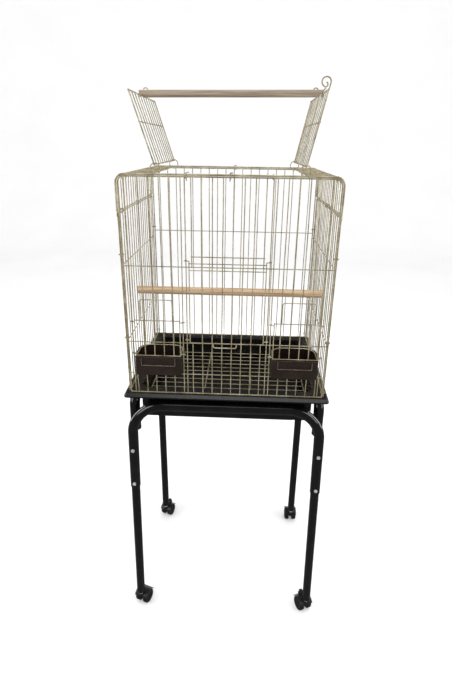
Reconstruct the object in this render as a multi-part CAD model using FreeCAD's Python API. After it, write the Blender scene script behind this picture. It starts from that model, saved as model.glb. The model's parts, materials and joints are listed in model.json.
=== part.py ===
import FreeCAD, Part
import math
import os

# Bird cage on a rolling tube stand. Millimetres, +X right, +Y back, +Z up.
# The front of the cage faces -Y and the casters stand on Z = 0.
# Everything is drawn about the cage's own centre line and moved by CAGE_Y when it is
# written, because the back casters trail behind the cage.

# ---- driving dimensions ----
CAGE_W = 457.0
CAGE_D = 381.0
HALF_W = CAGE_W / 2
HALF_D = CAGE_D / 2
CAGE_Y = -8.1
EDGE = 4.0                 # panels stop this far short of the corner lines
BASE_Z = 716.0             # bottom wires of the four panels
LOW_Z = 765.0              # horizontal under the feed cups
SILL_Z = 844.0             # horizontal under the front door
LINTEL_Z = 1019.0          # horizontal above the front door
SIDE_TOP_Z = 1128.0        # top rails of the side panels
CAP_LOW_Z = 1132.0         # bottom rails of the roof cap
TOP_Z = 1206.0             # top of the roof cap
CORNER_R = 18.0            # roof corner bend

WIRE_R = 1.1
BORDER_R = 1.5
CAP_R = 2.0
WELD = 0.3                 # how far crossing wires sink into each other
FRONT_SPACES = 21
BACK_SPACES = 20
SIDE_SPACES = 17

HINGE_X = 157.0
HINGE_Z = 1222.0
LEAF_LEN = 145.0
LEAF_LEAN = {-1: 18.2, 1: 12.6}
LEAF_HALF_D = 142.0
LEAF_SPACES = 10
CROSSBAR_U = 86.0          # crossbar's distance from the hinge
LOOP_Y = 8.0
LOOP_R = 5.0
HOOK_R = 1.3
SCROLL_R = 8.7

DOOR_HALF_W = 82.0
DOOR_GUIDE_X = 89.5
CUP_GUIDES = (97.8, 213.0)
CUP_X = sum(CUP_GUIDES) / 2
DOOR_Y = -HALF_D - 4.6     # plane of the sliding doors
EYE_R = 3.1
CUP_TOP_Z = 812.0
CUP_FRONT_Y = -HALF_D - 12.5
CUP_BACK_Y = -128.0
CUP_LOW_Z = 767.0
CUP_BACK_R = 24.0
FEEDER_XS = (CUP_GUIDES[0] + 7.0, CUP_GUIDES[1] - 7.0)
FEEDER_LOW_Z = CUP_TOP_Z + 1.5
FEEDER_TOP_Z = 898.5

TUB_HALF_W = 209.0
TUB_HALF_D = 165.0
TUB_LOW_Z = 636.0
RIM_HALF_W = 242.0
RIM_HALF_D = 204.0
RIM_LOW_Z = 705.0
RIM_TOP_Z = 714.2
SHELL = 2.5

FRONT_LEG_X = 230.5
BACK_LEG_X = 225.7
SIDE_FRAME_X = 228.1
LEG_Y = 181.0
UPPER_R = 12.7
UPPER_BORE = 11.5
LOWER_R = 11.1
LOWER_BORE = 9.9
ARCH_Z = 673.0
ARCH_BEND = 80.0
SIDE_BEND = 38.0
SPLAY_Z = 593.0
FRONT_SPLAY = 0.018
JOINT_Z = 433.0
LEG_LOW_Z = 54.0
LEG_TOP_Z = 568.0
SCREW_ZS = (446.0, 548.0)
SIDE_FRAME_Z = 690.0
SIDE_FRAME_Y = LEG_Y - 2 * UPPER_R - 0.4
SIDE_FRAME_LOW_Z = 592.0
BOLT_Z = 618.0
BOLT_R = 3.0
SCREW_R = 2.0

TRAY_HALF_W = 160.0

WHEEL_R = 20.0
WHEEL_IN = 6.5             # inner and outer faces of the twin wheels
WHEEL_OUT = 19.0
HOOD_R = 23.2
TRAIL = 16.0
AXLE_R = 2.5
STEM_R = 4.0
STEM_TOP_Z = 78.0
CASTER_TURN = {"fl": 69.0, "fr": 114.0, "bl": 70.0, "br": 92.0}

V = FreeCAD.Vector
X_AXIS = V(1, 0, 0)
Y_AXIS = V(0, 1, 0)
Z_AXIS = V(0, 0, 1)


# ---- helpers ----
def rod(start, end, radius):
    start = V(*start)
    end = V(*end)
    along = end - start
    return Part.makeCylinder(radius, along.Length, start, along)


def ring(centre, axis, major, minor):
    return Part.makeTorus(major, minor, V(*centre), axis)


def box(x0, x1, y0, y1, z0, z1):
    return Part.makeBox(x1 - x0, y1 - y0, z1 - z0, V(x0, y0, z0))


def rounded_path(points, bends):
    """An open wire through the points, each inner corner turned into an arc."""
    points = [V(*p) for p in points]
    edges = []
    start = points[0]
    for before, corner, after, bend in zip(points, points[1:], points[2:], bends):
        back = (before - corner).normalize()
        on = (after - corner).normalize()
        half = back.getAngle(on) / 2
        reach = bend / math.tan(half)
        enter = corner + back * reach
        leave = corner + on * reach
        middle_way = (back + on).normalize()
        middle = corner + middle_way * (bend / math.sin(half) - bend)
        edges.append(Part.makeLine(start, enter))
        edges.append(Part.Arc(enter, middle, leave).toShape())
        start = leave
    edges.append(Part.makeLine(start, points[-1]))
    return Part.Wire(edges)


def bent(points, bend, radius):
    """A round bar that follows the points. bend is one corner radius, or one per corner."""
    bends = bend if isinstance(bend, list) else [bend] * (len(points) - 2)
    path = rounded_path(points, bends)
    start = V(*points[0])
    along = V(*points[1]) - start
    section = Part.Wire(Part.makeCircle(radius, start, along))
    return path.makePipeShell([section], True, False)


def fused(shapes):
    """One welded piece."""
    whole = shapes[0].multiFuse(shapes[1:])
    return whole.Solids[0] if len(whole.Solids) == 1 else whole


def spaced(half, spaces):
    pitch = 2 * half / spaces
    return [-half + pitch * k for k in range(1, spaces)]


def upright_edges(shape, middle_y, back):
    """The upright edges behind, or in front of, a depth."""
    upright = [e for e in shape.Edges if abs(e.tangentAt(e.FirstParameter).z) > 0.9]
    return [e for e in upright if (e.CenterOfMass.y > middle_y) == back]


def rounded_box(x0, x1, y0, y1, z0, z1, front_radius, back_radius):
    block = box(x0, x1, y0, y1, z0, z1)
    middle = (y0 + y1) / 2
    block = block.makeFillet(back_radius, upright_edges(block, middle, True))
    if front_radius:
        block = block.makeFillet(front_radius, upright_edges(block, middle, False)[:2])
    return block


def rounded_block(half_x, half_y, z0, z1, radius):
    block = box(-half_x, half_x, -half_y, half_y, z0, z1)
    upright = [e for e in block.Edges if abs(e.tangentAt(e.FirstParameter).z) > 0.9]
    return block.makeFillet(radius, upright)


def export(name, shape):
    shape = shape.copy()
    shape.translate(V(0, CAGE_Y, 0))
    shape.exportStep("parts/%s.step" % name)


def mirrored(shape):
    return shape.mirror(V(0, 0, 0), X_AXIS)


DEPTH_YS = spaced(HALF_D, SIDE_SPACES)
WIDTH_XS = spaced(HALF_W, FRONT_SPACES)
MID_YS = [(a + b) / 2 for a, b in zip(DEPTH_YS, DEPTH_YS[1:])]


# ---- stand ----
def leg_x(z, end):
    """Half the spread of the legs at a height; the front legs (end -1) splay outwards."""
    if end < 0:
        return FRONT_LEG_X + FRONT_SPLAY * (SPLAY_Z - z)
    return BACK_LEG_X


def arch_frame(end):
    """Inverted U of tube: two upper legs joined by a bent top."""
    y = end * LEG_Y
    foot = leg_x(JOINT_Z, end)
    shoulder = leg_x(ARCH_Z, end)
    points = [(-foot, y, JOINT_Z), (-shoulder, y, ARCH_Z), (shoulder, y, ARCH_Z), (foot, y, JOINT_Z)]
    tube = bent(points, ARCH_BEND, UPPER_R).cut(bent(points, ARCH_BEND, UPPER_BORE))
    for side in (-1, 1):
        for z in SCREW_ZS:
            x = side * leg_x(z, end)
            tube = tube.cut(rod((x, y, z), (x, y + end * 20, z), SCREW_R + 0.1))
        x = side * SIDE_FRAME_X
        tube = tube.cut(rod((x, y, BOLT_Z), (x, y - end * 20, BOLT_Z), BOLT_R + 0.1))
    return tube


def side_frame(side):
    """Inverted U of tube that ties the front and back arches together under the rim."""
    x = side * SIDE_FRAME_X
    y = SIDE_FRAME_Y
    low = SIDE_FRAME_LOW_Z
    top = SIDE_FRAME_Z
    points = [(x, -y, low), (x, -y, top), (x, y, top), (x, y, low)]
    tube = bent(points, SIDE_BEND, UPPER_R).cut(bent(points, SIDE_BEND, UPPER_BORE))
    for end in (-1, 1):
        tube = tube.cut(rod((x, end * (y + 20), BOLT_Z), (x, end * (y - 20), BOLT_Z), BOLT_R + 0.1))
    return tube


def frame_bolts():
    bolts = []
    inner = SIDE_FRAME_Y - UPPER_R
    for side in (-1, 1):
        for end in (-1, 1):
            x = side * SIDE_FRAME_X
            head = rod((x, end * (inner - 4.2), BOLT_Z), (x, end * (inner - 0.2), BOLT_Z), 5.5)
            shank = rod((x, end * (inner - 0.5), BOLT_Z), (x, end * (LEG_Y - 4.0), BOLT_Z), BOLT_R)
            bolts.append(fused([head, shank]))
    return Part.makeCompound(bolts)


def lower_leg(side, end):
    y = end * LEG_Y
    low = (side * leg_x(LEG_LOW_Z, end), y, LEG_LOW_Z)
    top = (side * leg_x(LEG_TOP_Z, end), y, LEG_TOP_Z)
    leg = rod(low, top, LOWER_R).cut(rod(low, top, LOWER_BORE))
    for z in SCREW_ZS:
        x = side * leg_x(z, end)
        leg = leg.cut(rod((x, y, z), (x, y + end * 20, z), SCREW_R + 0.1))
    return leg


def leg_screw(x, end, z):
    """Cross-head screw that pins a lower leg in its arch."""
    y = end * LEG_Y
    face = y + end * (UPPER_R + 0.05)
    head = rod((x, face, z), (x, face + end * 2.4, z), 4.3)
    shank = rod((x, face, z), (x, y + end * 8.0, z), SCREW_R)
    flat_slot = box(x - 2.4, x + 2.4, -0.6, 0.6, z - 0.45, z + 0.45)
    cross = flat_slot.fuse(box(x - 0.45, x + 0.45, -0.6, 0.6, z - 2.4, z + 2.4))
    cross.translate(V(0, face + end * 2.4, 0))
    return fused([head, shank]).cut(cross)


def leg_screws():
    places = [(side, end, z) for side in (-1, 1) for end in (-1, 1) for z in SCREW_ZS]
    return Part.makeCompound([leg_screw(side * leg_x(z, end), end, z) for side, end, z in places])


def caster_spots():
    front = leg_x(LEG_LOW_Z, -1)
    back = leg_x(LEG_LOW_Z, 1)
    return {"fl": (-front, -LEG_Y), "fr": (front, -LEG_Y), "bl": (-back, LEG_Y), "br": (back, LEG_Y)}


def leg_plugs():
    plugs = []
    for x, y in caster_spots().values():
        flange = rod((x, y, LEG_LOW_Z - 3.4), (x, y, LEG_LOW_Z - 0.3), LOWER_R)
        sleeve = rod((x, y, LEG_LOW_Z - 1), (x, y, STEM_TOP_Z + 1), LOWER_BORE - 0.6)
        bore = rod((x, y, LEG_LOW_Z - 5), (x, y, STEM_TOP_Z + 5), STEM_R + 0.1)
        plugs.append(fused([flange, sleeve]).cut(bore))
    return Part.makeCompound(plugs)


def caster_stems():
    stems = []
    for x, y in caster_spots().values():
        stem = rod((x, y, 26.0), (x, y, STEM_TOP_Z), STEM_R)
        collar = rod((x, y, 43.9), (x, y, LEG_LOW_Z - 3.5), 6.8)
        stems.append(fused([stem, collar]))
    return Part.makeCompound(stems)


# Casters are drawn at the origin with the wheels trailing towards +X, then placed.
def placed(shape, corner):
    x, y = caster_spots()[corner]
    shape = shape.copy()
    shape.rotate(V(0, 0, 0), Z_AXIS, CASTER_TURN[corner])
    shape.translate(V(x, y, 0))
    return shape


def across(x, z, half, radius):
    return rod((x, -half, z), (x, half, z), radius)


def caster_housing(braked):
    hood = across(TRAIL, WHEEL_R, WHEEL_OUT + 0.5, HOOD_R)
    hood = hood.cut(across(TRAIL, WHEEL_R, WHEEL_OUT + 5, HOOD_R - 2.0))
    hood = hood.common(box(-20, 60, -30, 30, WHEEL_R + 10.0, 60.0))
    web = fused([across(TRAIL, WHEEL_R, 4.2, 10.0), box(0.0, TRAIL + 7, -4.2, 4.2, 25.0, 42.0)])
    boss = rod((0, 0, 25.0), (0, 0, 43.4), 5.9)
    pieces = [hood, web, boss]
    x, z = brake_pivot()
    if braked:
        pieces += [rod((x, side * 5.3, z), (x, side * 7.3, z), 4.0) for side in (-1, 1)]
    body = fused(pieces)
    body = body.cut(across(TRAIL, WHEEL_R, 10.0, AXLE_R + 0.06))
    body = body.cut(rod((0, 0, 15.0), (0, 0, 60.0), STEM_R + 0.06))
    if braked:
        body = body.cut(across(x, z, 12.0, 1.46))
    return body


def brake_pivot():
    reach = HOOD_R + 3.4
    angle = math.radians(58)
    return TRAIL + reach * math.cos(angle), WHEEL_R + reach * math.sin(angle)


def brake_lever():
    x, z = brake_pivot()
    barrel = across(x, z, 5.0, 2.7)
    pin = across(x, z, 7.3, 1.4)
    tab = box(x - 1.1, x + 1.1, -4.6, 4.6, z + 1.5, z + 8.5)
    tab.rotate(V(x, 0, z), Y_AXIS, 24.0)
    return fused([barrel, pin, tab])


def wheel_pair():
    wheels = []
    for side in (-1, 1):
        wheel = rod((TRAIL, side * WHEEL_IN, WHEEL_R), (TRAIL, side * WHEEL_OUT, WHEEL_R), WHEEL_R)
        outer = [e for e in wheel.Edges if abs(abs(e.CenterOfMass.y) - WHEEL_OUT) < 0.1]
        wheel = wheel.makeFillet(4.0, outer)
        dish = rod((TRAIL, side * (WHEEL_OUT - 1.5), WHEEL_R), (TRAIL, side * (WHEEL_OUT + 2), WHEEL_R), 11.0)
        wheel = wheel.cut(dish).cut(across(TRAIL, WHEEL_R, 30.0, AXLE_R + 0.04))
        wheels.append(wheel)
    return Part.makeCompound(wheels)


def axle():
    return across(TRAIL, WHEEL_R, WHEEL_OUT - 1.6, AXLE_R)


# ---- base ----
def base_tub():
    """Deep tub with a wide bevelled rim, a tray slot in front and a ledge for the grille."""
    rim = rounded_block(RIM_HALF_W, RIM_HALF_D, RIM_LOW_Z, RIM_TOP_Z, 9.0)
    top = [e for e in rim.Edges if abs(e.BoundBox.ZMin - RIM_TOP_Z) < 0.01 and e.BoundBox.ZLength < 0.01]
    rim = rim.makeChamfer(6.0, top)
    under = rounded_block(RIM_HALF_W - 2.4, RIM_HALF_D - 2.4, RIM_LOW_Z - 1, RIM_LOW_Z + 3.0, 7.0)
    under_top = rounded_block(RIM_HALF_W - 7.6, RIM_HALF_D - 7.6, RIM_LOW_Z - 1, RIM_TOP_Z - SHELL, 4.0)
    rim = rim.cut(under).cut(under_top)
    body = rounded_block(TUB_HALF_W, TUB_HALF_D, TUB_LOW_Z, RIM_TOP_Z - 1.0, 14.0)
    pads = []
    for side in (-1, 1):
        for y in (-95.0, 95.0):
            x = side * SIDE_FRAME_X
            pads.append(box(x - 6, x + 6, y - 20, y + 20, SIDE_FRAME_Z + UPPER_R + 0.1, RIM_TOP_Z - 1.5))
    tub = fused([rim, body] + pads)
    hollow = rounded_block(TUB_HALF_W - SHELL, TUB_HALF_D - SHELL, TUB_LOW_Z + SHELL, 740.0, 12.0)
    tub = tub.cut(hollow)
    ledge = rounded_block(TUB_HALF_W - 1, TUB_HALF_D - 1, 663.5, 666.2, 12.0)
    ledge = ledge.cut(rounded_block(TUB_HALF_W - 11, TUB_HALF_D - 11, 660.0, 670.0, 5.0))
    tub = tub.fuse(ledge)
    slot_x = TRAY_HALF_W + 1.5
    return tub.cut(box(-slot_x, slot_x, -TUB_HALF_D - 5, -TUB_HALF_D + 15, 639.0, 657.4))


def slide_out_tray():
    """Shallow pan with a flanged front that closes the slot."""
    x = TRAY_HALF_W
    back = 155.0
    front = -TUB_HALF_D + 4.0
    pan = box(-x, x, front, back, 639.2, 655.0)
    pan = pan.cut(box(-x + 1.8, x - 1.8, front + 1.8, back - 1.8, 641.0, 700.0))
    apron = box(-x - 3.0, x + 3.0, -TUB_HALF_D - 2.6, -TUB_HALF_D - 0.3, 637.0, 656.4)
    neck = box(-x, x, -TUB_HALF_D - 0.5, front + 0.5, 640.0, 655.0)
    return fused([pan, apron, neck])


def floor_grille():
    half_x = TUB_HALF_W - 9.5
    half_y = TUB_HALF_D - 9.5
    z = 666.3 + BORDER_R
    border = []
    for end in (-1, 1):
        border.append(rod((-half_x, end * half_y, z), (half_x, end * half_y, z), BORDER_R))
        border.append(rod((end * half_x, -half_y, z), (end * half_x, half_y, z), BORDER_R))
    bars = [rod((x, -half_y, z), (x, half_y, z), BORDER_R) for x in (-60.0, 60.0)]
    upper = z + BORDER_R + WIRE_R - WELD
    ys = [25.0 * k for k in range(-6, 7)]
    wires = [rod((-half_x, y, upper), (half_x, y, upper), WIRE_R) for y in ys]
    return fused(border + bars + wires)


# ---- wire panels ----
def inner(outward):
    """Offset from a panel's upright wires to the horizontals welded behind them."""
    return -outward * (2 * WIRE_R - WELD)


def front_panel():
    y = -HALF_D
    behind = y + inner(-1)
    edge = HALF_W - EDGE
    top = TOP_Z - EDGE
    outline = [(-edge, y, BASE_Z), (-edge, y, top), (edge, y, top), (edge, y, BASE_Z)]
    shapes = [
        bent(outline, CORNER_R - EDGE, BORDER_R),
        rod((-edge, y, BASE_Z), (edge, y, BASE_Z), BORDER_R),
    ]
    for z in (LOW_Z, SILL_Z, LINTEL_Z):
        shapes.append(rod((-edge, behind, z), (edge, behind, z), WIRE_R))
    guides = [DOOR_GUIDE_X, CUP_GUIDES[0], CUP_GUIDES[1]]
    for x in guides + [-g for g in guides]:
        shapes.append(rod((x, y, BASE_Z), (x, y, top), WIRE_R))
    for x in WIDTH_XS:
        reach = abs(x)
        if abs(reach - CUP_GUIDES[0]) < 3:
            continue
        if reach < DOOR_GUIDE_X:
            spans = [(BASE_Z, SILL_Z + 1), (LINTEL_Z - 1, top)]
        elif reach > CUP_GUIDES[0]:
            spans = [(BASE_Z, LOW_Z + 1), (SILL_Z - 1, top)]
        else:
            spans = [(BASE_Z, top)]
        for low, high in spans:
            shapes.append(rod((x, y, low), (x, y, high), WIRE_R))
    return fused(shapes)


def back_panel():
    y = HALF_D
    behind = y + inner(1)
    edge = HALF_W - EDGE
    top = TOP_Z - EDGE
    outline = [(-edge, y, BASE_Z), (-edge, y, top), (edge, y, top), (edge, y, BASE_Z)]
    shapes = [
        bent(outline, CORNER_R - EDGE, BORDER_R),
        rod((-edge, y, BASE_Z), (edge, y, BASE_Z), BORDER_R),
    ]
    for z in (SILL_Z, LINTEL_Z + 14):
        shapes.append(rod((-edge, behind, z), (edge, behind, z), WIRE_R))
    for x in spaced(HALF_W, BACK_SPACES):
        shapes.append(rod((x, y, BASE_Z), (x, y, top), WIRE_R))
    return fused(shapes)


def side_panel(side):
    x = side * HALF_W
    behind = x + inner(side)
    edge = HALF_D - EDGE
    shapes = []
    for end in (-1, 1):
        shapes.append(rod((x, end * edge, BASE_Z), (x, end * edge, SIDE_TOP_Z), BORDER_R))
    for z in (BASE_Z, SIDE_TOP_Z):
        shapes.append(rod((x, -edge, z), (x, edge, z), BORDER_R))
    for z in (SILL_Z, LINTEL_Z):
        shapes.append(rod((behind, -edge, z), (behind, edge, z), WIRE_R))
    for y in DEPTH_YS:
        shapes.append(rod((x, y, BASE_Z), (x, y, SIDE_TOP_Z), WIRE_R))
    return fused(shapes)


def roof_cap():
    """Bent-wire lid: two fixed strips with side skirts, open in the middle."""
    shapes = []
    for y in (-HALF_D, HALF_D):
        corners = [(-HALF_W, y, CAP_LOW_Z), (-HALF_W, y, TOP_Z), (HALF_W, y, TOP_Z), (HALF_W, y, CAP_LOW_Z)]
        shapes.append(bent(corners, CORNER_R, CAP_R))
    for side in (-1, 1):
        hinge = side * HINGE_X
        wall = side * HALF_W
        shapes.append(rod((hinge, -HALF_D, TOP_Z), (hinge, HALF_D, TOP_Z), BORDER_R))
        shapes.append(rod((wall, -HALF_D, CAP_LOW_Z), (wall, HALF_D, CAP_LOW_Z), BORDER_R))
        for y in DEPTH_YS:
            shapes.append(bent([(hinge, y, TOP_Z), (wall, y, TOP_Z), (wall, y, CAP_LOW_Z)], CORNER_R, WIRE_R))
    return fused(shapes)


def roof_leaf(side):
    """Half of the opening roof, drawn upright at its hinge and leaned outwards."""
    x = side * HINGE_X
    tip = HINGE_Z + LEAF_LEN
    shapes = []
    for z in (HINGE_Z, tip):
        shapes.append(rod((x, -LEAF_HALF_D, z), (x, LEAF_HALF_D, z), BORDER_R))
    for y in (-LEAF_HALF_D, LEAF_HALF_D):
        shapes.append(rod((x, y, HINGE_Z), (x, y, tip), BORDER_R))
    for y in spaced(LEAF_HALF_D, LEAF_SPACES):
        shapes.append(rod((x, y, HINGE_Z), (x, y, tip), WIRE_R))
    cross_x = x - inner(side)
    cross_z = HINGE_Z + CROSSBAR_U
    shapes.append(rod((cross_x, -LEAF_HALF_D, cross_z), (cross_x, LEAF_HALF_D, cross_z), WIRE_R))
    return leaned(fused(shapes), side)


def leaned(shape, side):
    shape.rotate(V(side * HINGE_X, 0, HINGE_Z), Y_AXIS, side * LEAF_LEAN[side])
    return shape


def leaf_tip(side):
    """Where the middle of a leaf's tip wire is, across and up."""
    lean = math.radians(LEAF_LEAN[side])
    return side * (HINGE_X + LEAF_LEN * math.sin(lean)), HINGE_Z + LEAF_LEN * math.cos(lean)


def leaf_loop(side):
    """Hasp loop bent inwards from the tip wire; the two meet side by side when the roof is shut."""
    tip = V(side * HINGE_X, LOOP_Y + side * 2.0, HINGE_Z + LEAF_LEN)
    inwards = V(-side * 9.0, 0, 10.5).normalize()
    centre = tip + inwards * 13.8
    start = tip + inwards * (BORDER_R + WIRE_R + 0.05)
    stem = rod(tuple(start), tuple(centre - inwards * LOOP_R), WIRE_R)
    return leaned(fused([ring(tuple(centre), Y_AXIS, LOOP_R, WIRE_R), stem]), side)


def scroll_hook():
    """Curled hook at the front corner of the right leaf, its tail laid back along the tip wire."""
    x = HINGE_X
    y = -LEAF_HALF_D - BORDER_R - HOOK_R - 0.9
    tip = HINGE_Z + LEAF_LEN
    centre_x = x - SCROLL_R
    centre_z = tip + 11.0
    low_z = centre_z - SCROLL_R
    curl_r = 3.9
    arm = rod((x, -LEAF_HALF_D - BORDER_R - 0.05, tip), (x, y, tip), HOOK_R)
    stem = rod((x, y, tip), (x, y, centre_z), HOOK_R)
    start = V(x, y, centre_z)
    end = V(centre_x, y, low_z)
    curl = sweep(Part.Arc(start, V(centre_x, y, centre_z + SCROLL_R), end).toShape(), HOOK_R)
    turn = Part.Arc(end, V(centre_x + curl_r, y, low_z + curl_r), V(centre_x, y, low_z + 2 * curl_r))
    tail_z = tip + BORDER_R + HOOK_R + 0.05
    tail_end = (x, -38.0, tail_z)
    tail = [rod(tuple(end), (x - 4.0, -118.0, tail_z + 1.0), HOOK_R)]
    tail.append(rod((x - 4.0, -118.0, tail_z + 1.0), tail_end, HOOK_R))
    knuckles = [V(x, y, tip), start, end, V(x - 4.0, -118.0, tail_z + 1.0)]
    balls = [Part.makeSphere(HOOK_R, point) for point in knuckles]
    return leaned(fused([arm, stem, curl, sweep(turn.toShape(), HOOK_R)] + tail + balls), 1)


def sweep(edge, radius):
    start = edge.valueAt(edge.FirstParameter)
    along = edge.tangentAt(edge.FirstParameter)
    section = Part.Wire(Part.makeCircle(radius, start, along))
    return Part.Wire([edge]).makePipeShell([section], True, False)


def hinge_rings():
    rings = []
    for side in (-1, 1):
        for y in (MID_YS[1], MID_YS[-2]):
            centre = (side * HINGE_X, y, (TOP_Z + HINGE_Z) / 2)
            major = (HINGE_Z - TOP_Z) / 2 + BORDER_R + WIRE_R + 0.15
            rings.append(ring(centre, Y_AXIS, major, WIRE_R))
    return Part.makeCompound(rings)


def corner_clips():
    """Rings that clip the four panels together at the corners."""
    clips = []
    for side in (-1, 1):
        for end in (-1, 1):
            for z in (BASE_Z + 12, SILL_Z + 9, LINTEL_Z + 24):
                centre = (side * (HALF_W - EDGE / 2), end * (HALF_D - EDGE / 2), z)
                clips.append(ring(centre, Z_AXIS, 5.4, 0.9))
    return Part.makeCompound(clips)


def side_rail_clips():
    clips = []
    for side in (-1, 1):
        for y in (MID_YS[0], MID_YS[7], MID_YS[-1]):
            clips.append(ring((side * HALF_W, y, (SIDE_TOP_Z + CAP_LOW_Z) / 2), Y_AXIS, 4.5, 0.8))
    return Part.makeCompound(clips)


def top_rail_clips():
    clips = []
    for x, y in ((-87.0, -HALF_D), (3.5, -HALF_D), (87.0, -HALF_D), (3.5, HALF_D)):
        clips.append(ring((x, y, TOP_Z - EDGE / 2), X_AXIS, 5.1, 0.9))
    return Part.makeCompound(clips)


# ---- perches ----
def top_perch():
    """Dowel that drops over the tips of the two open leaves, notched where it sits on them."""
    y = -15.0
    radius = 7.6
    ends = []
    for side, reach in ((-1, 5.0), (1, 7.5)):
        tip_x, tip_z = leaf_tip(side)
        ends.append((tip_x + side * reach, y, tip_z + 4.0))
    dowel = rod(ends[0], ends[1], radius)
    for side in (-1, 1):
        tip_x, tip_z = leaf_tip(side)
        apex = tip_z + (BORDER_R + 0.3) * math.sqrt(2)
        depth = 9.0
        corners = [V(tip_x, y - 12, apex)]
        corners += [V(tip_x + sign * depth, y - 12, apex - depth) for sign in (-1, 1)]
        notch = Part.Face(Part.makePolygon(corners + [corners[0]])).extrude(V(0, 24, 0))
        dowel = dowel.cut(notch)
    return dowel


def inner_perch():
    """Dowel whose slotted ends straddle a side wire."""
    y = DEPTH_YS[6]
    z = 921.0
    reach = HALF_W + 3.0
    dowel = rod((-reach, y, z), (reach, y, z), 9.5)
    for side in (-1, 1):
        x0 = side * (HALF_W - 2.2)
        x1 = side * (reach + 1)
        dowel = dowel.cut(box(min(x0, x1), max(x0, x1), y - 1.4, y + 1.4, z - 12, z + 12))
    return dowel


# ---- doors ----
def guide_eye(door_x, guide_x, z):
    """Eye on a sliding door that runs on a guide wire of the front panel."""
    radius = 0.85
    centre = V(guide_x, -HALF_D, z)
    frame = V(door_x, DOOR_Y, z)
    towards = (frame - centre).normalize()
    near = centre + towards * EYE_R
    far = frame - towards * (WIRE_R + radius / 2)
    return fused([ring(tuple(centre), Z_AXIS, EYE_R, radius), rod(tuple(far), tuple(near), radius)])


def front_door():
    low = SILL_Z + 3.5
    top = LINTEL_Z + 24.0
    cross_y = DOOR_Y - (2 * WIRE_R - WELD)
    half = DOOR_HALF_W
    shapes = []
    for x in (-half, half):
        shapes.append(rod((x, DOOR_Y, low), (x, DOOR_Y, LINTEL_Z + 15), WIRE_R))
    for x in [x for x in WIDTH_XS if abs(x) < half - 10]:
        shapes.append(rod((x, DOOR_Y, low), (x, DOOR_Y, top), WIRE_R))
    for z in (low, LINTEL_Z - 5, LINTEL_Z + 9.5):
        shapes.append(rod((-half, cross_y, z), (half, cross_y, z), WIRE_R))
    shapes.append(rod((-half + 4, cross_y, top), (half - 4, cross_y, top), WIRE_R))
    return fused(shapes)


def front_door_eyes():
    zs = (SILL_Z + 8.5, LINTEL_Z + 14.0)
    eyes = [guide_eye(side * DOOR_HALF_W, side * DOOR_GUIDE_X, z) for side in (-1, 1) for z in zs]
    return Part.makeCompound(eyes)


def front_door_handle():
    y = DOOR_Y - (2 * WIRE_R - WELD)
    z = SILL_Z + 3.5 - WIRE_R - 0.05
    return bent([(-30.0, y, z), (-30.0, y, z - 9.5), (22.0, y, z - 9.5), (22.0, y, z)], 4.0, 1.3)


def feeder_door(side):
    low = FEEDER_LOW_Z
    top = FEEDER_TOP_Z
    cross_y = DOOR_Y - (2 * WIRE_R - WELD)
    near, far = FEEDER_XS
    shapes = []
    for x in [near, far] + [x for x in WIDTH_XS if near + 5 < x < far - 5]:
        shapes.append(rod((x, DOOR_Y, low), (x, DOOR_Y, top), WIRE_R))
    for z in (low, top):
        shapes.append(rod((near, cross_y, z), (far, cross_y, z), WIRE_R))
    hoop = [(121.0, DOOR_Y, top), (121.0, DOOR_Y, 946.0), (193.0, DOOR_Y, 946.0), (193.0, DOOR_Y, top)]
    shapes.append(bent(hoop, 5.0, WIRE_R))
    door = fused(shapes)
    return door if side > 0 else mirrored(door)


def feeder_eyes(side):
    pairs = zip(FEEDER_XS, CUP_GUIDES)
    zs = (FEEDER_LOW_Z + 2.6, FEEDER_TOP_Z - 5.5)
    eyes = Part.makeCompound([guide_eye(door_x, guide_x, z) for door_x, guide_x in pairs for z in zs])
    return eyes if side > 0 else mirrored(eyes)


# ---- feed cups ----
def feed_cup(side):
    """Box with a rounded back and a flange, held by its wire holder."""
    front = CUP_FRONT_Y
    back = CUP_BACK_Y
    wall = 2.5
    cup = rounded_box(CUP_X - 53, CUP_X + 53, front, back, CUP_LOW_Z, CUP_TOP_Z, 4.0, CUP_BACK_R)
    flange_x = CUP_X - 55.5, CUP_X + 55.5
    flange = rounded_box(*flange_x, -HALF_D + 6, back + 2.5, CUP_TOP_Z - 3, CUP_TOP_Z, 0, CUP_BACK_R + 2.5)
    hollow_x = CUP_X - 53 + wall, CUP_X + 53 - wall
    hollow = rounded_box(*hollow_x, front + wall, back - wall, CUP_LOW_Z + wall, CUP_TOP_Z + 5, 2.0,
                         CUP_BACK_R - wall)
    cup = fused([cup, flange]).cut(hollow)
    return cup if side > 0 else mirrored(cup)


def cup_holder(side):
    """Wire ring behind the opening that holds the cup down by its rim."""
    y = -HALF_D + 2 * WIRE_R + 0.05
    z = CUP_TOP_Z + 0.2 + WIRE_R
    near = CUP_X - 50.0
    far = CUP_X + 50.0
    back = CUP_BACK_Y - 3.0
    xs = [CUP_GUIDES[0], near, near, far, far, CUP_GUIDES[1]]
    ys = [y, y, back, back, y, y]
    points = [(px, py, z) for px, py in zip(xs, ys)]
    holder = bent(points, [1.8, CUP_BACK_R + 3.0, CUP_BACK_R + 3.0, 1.8], WIRE_R)
    return holder if side > 0 else mirrored(holder)


def cup_pull(side):
    """Thin wire pull on the front face of the cup."""
    face = CUP_FRONT_Y - 0.05
    y = face - 2.2
    left = CUP_X - 38.5
    right = CUP_X + 38.5
    top = CUP_TOP_Z - 4.0
    points = [(left, face, top), (left, y, top), (left, y, 792.0), (right, y, 792.0), (right, y, top)]
    pull = bent(points + [(right, face, top)], 1.1, 0.8)
    return pull if side > 0 else mirrored(pull)


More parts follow.
